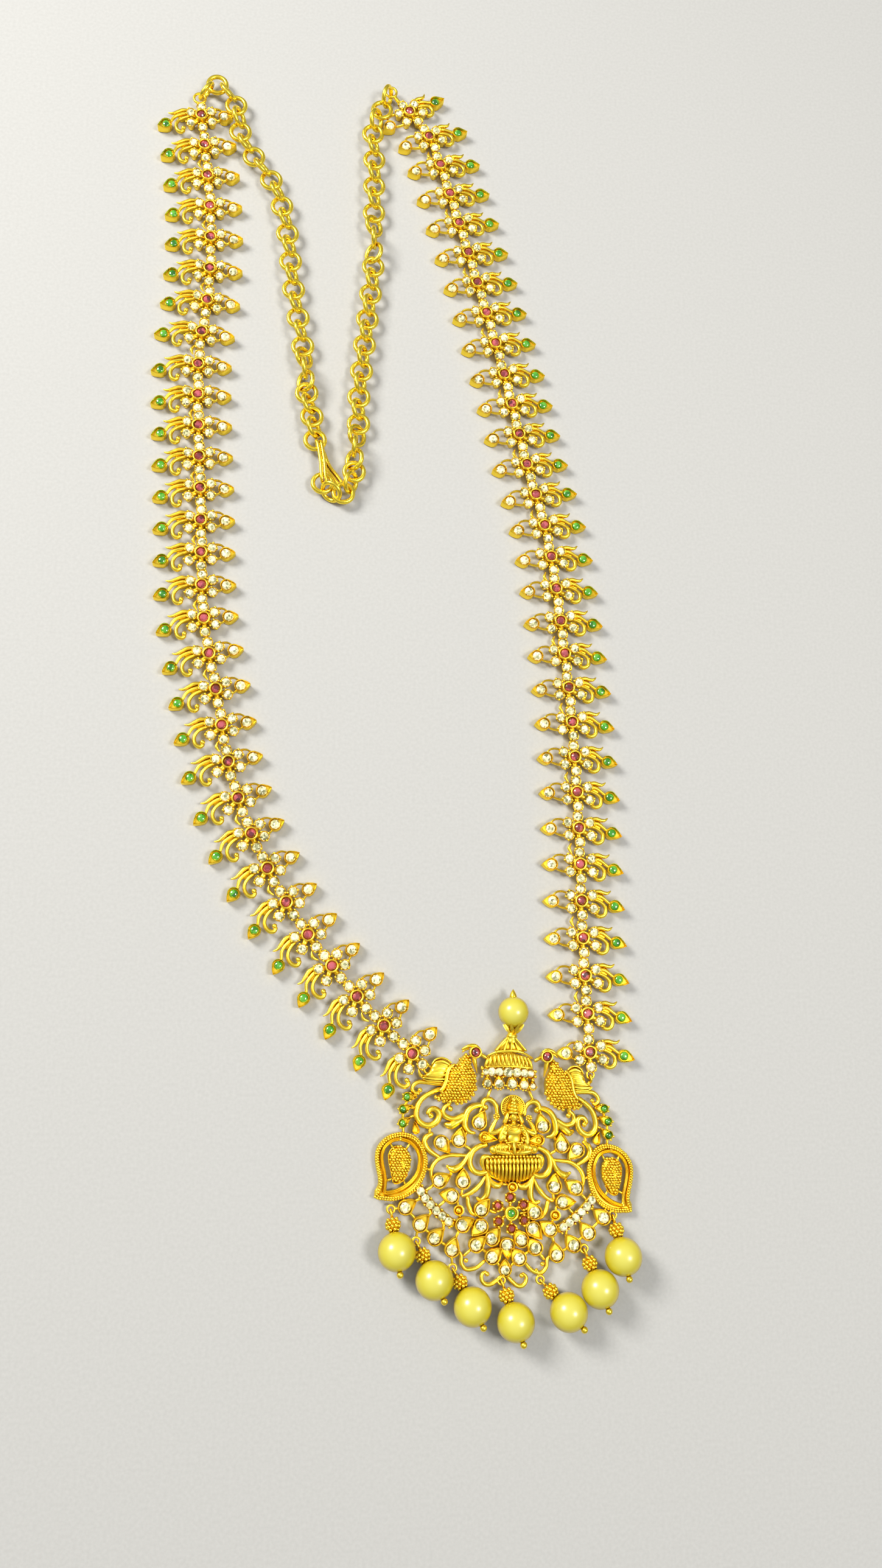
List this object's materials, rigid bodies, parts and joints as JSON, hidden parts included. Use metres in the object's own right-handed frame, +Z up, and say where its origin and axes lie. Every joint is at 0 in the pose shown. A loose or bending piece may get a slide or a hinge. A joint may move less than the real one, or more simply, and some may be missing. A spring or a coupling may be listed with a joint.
{
  "type": "long necklace",
  "caption": "Long gilt temple necklace lying flat: flower motif runs, an openwork pendant with hanging pearls, and a ring back chain with a wire hook.",
  "frame": {"origin": "middle of the whole outline seen from above, on the surface that the necklace lies on", "axes": "+Y from the pendant to the top of the loop, +X to the right as worn side up is seen, +Z up from the surface"},
  "size_m": [0.1071, 0.2859, 0.0075],
  "materials": {
    "gold_plate": "matte yellow gold plate over cast and wire brass",
    "pearl": "pearlescent coating, warm cream",
    "white_stone": "polished facets",
    "red_stone": "polished",
    "green_stone": "polished"
  },
  "bodies": {
    "root": {"pendant": "gold_plate", "top_pearl": "pearl", "left_run_1": "gold_plate", "left_run_2": "gold_plate", "left_run_3": "gold_plate", "left_run_4": "gold_plate", "right_run_1": "gold_plate", "right_run_2": "gold_plate", "right_run_3": "gold_plate", "right_run_4": "gold_plate", "left_back_chain": "gold_plate", "right_back_chain": "gold_plate", "clasp_hook": "gold_plate", "pearl_1": "pearl", "pearl_2": "pearl", "pearl_3": "pearl", "pearl_4": "pearl", "pearl_5": "pearl", "pearl_6": "pearl", "pearl_7": "pearl", "drop_pin_1": "gold_plate", "drop_pin_2": "gold_plate", "drop_pin_3": "gold_plate", "drop_pin_4": "gold_plate", "drop_pin_5": "gold_plate", "drop_pin_6": "gold_plate", "drop_pin_7": "gold_plate"}
  },
  "joints": []
}
